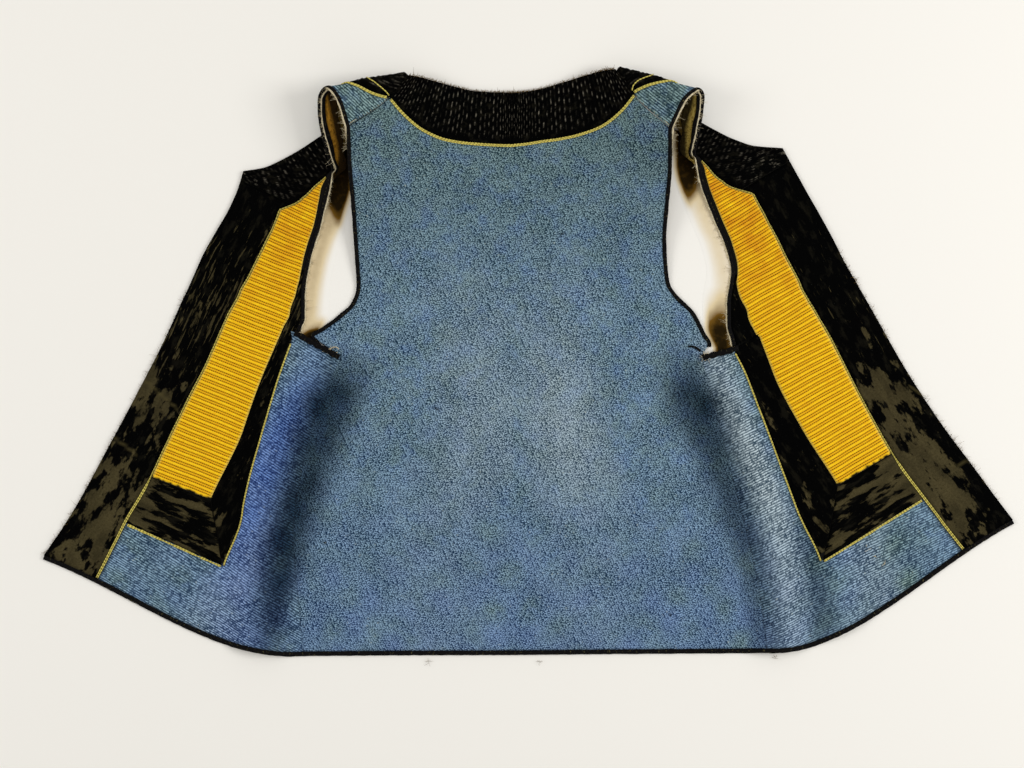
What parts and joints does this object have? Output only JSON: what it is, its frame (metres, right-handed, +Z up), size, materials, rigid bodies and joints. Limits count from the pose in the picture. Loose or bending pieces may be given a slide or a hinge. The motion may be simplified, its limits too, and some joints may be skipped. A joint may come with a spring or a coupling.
{
  "type": "folk waistcoat",
  "caption": "Open sleeveless folk waistcoat laid flat with its outside up: blue twill body, black velvet trims, ribbed yellow front panels and straps doubled back over the shoulders.",
  "frame": {"origin": "on the table under the middle of the garment's bounding box", "axes": "+X towards the wearer's right in the picture's view (the picture's right), +Y from the hem towards the neck, +Z up from the table"},
  "size_m": [0.7764, 0.4698, 0.0393],
  "materials": {
    "blue_wool": "matt twill-woven wool, worn",
    "black_velvet": "cotton velvet, matt, rubbed bare in places",
    "yellow_silk": "couched cords, softly shiny",
    "yellow_braid": "chain-stitched braid, satin",
    "black_binding": "plain cotton tape, matt",
    "cream_linen": "raw linen edge, matt",
    "tan_lining": "plain cotton lining, matt"
  },
  "bodies": {
    "root": {"back": "blue_wool", "front_left": "blue_wool", "front_right": "blue_wool", "neckband_back": "black_velvet", "neckband_left": "black_velvet", "neckband_right": "black_velvet", "band_left": "black_velvet", "band_right": "black_velvet", "strip_left": "black_velvet", "strip_right": "black_velvet", "foot_left": "black_velvet", "foot_right": "black_velvet", "panel_left": "yellow_silk", "panel_right": "yellow_silk", "piping_back": "yellow_braid", "piping_left": "yellow_braid", "piping_right": "yellow_braid", "braid_yoke_left": "yellow_braid", "braid_yoke_right": "yellow_braid", "braid_inner_left": "yellow_braid", "braid_inner_right": "yellow_braid", "braid_outer_left": "yellow_braid", "braid_outer_right": "yellow_braid", "braid_foot_left": "yellow_braid", "braid_foot_right": "yellow_braid", "binding_left": "black_binding", "binding_right": "black_binding", "facing_left": "black_binding", "facing_right": "black_binding", "roll_left": "black_binding", "roll_right": "black_binding", "hem_binding": "black_binding", "cream_left": "cream_linen", "cream_right": "cream_linen", "lining_left": "tan_lining", "lining_right": "tan_lining"}
  },
  "joints": []
}
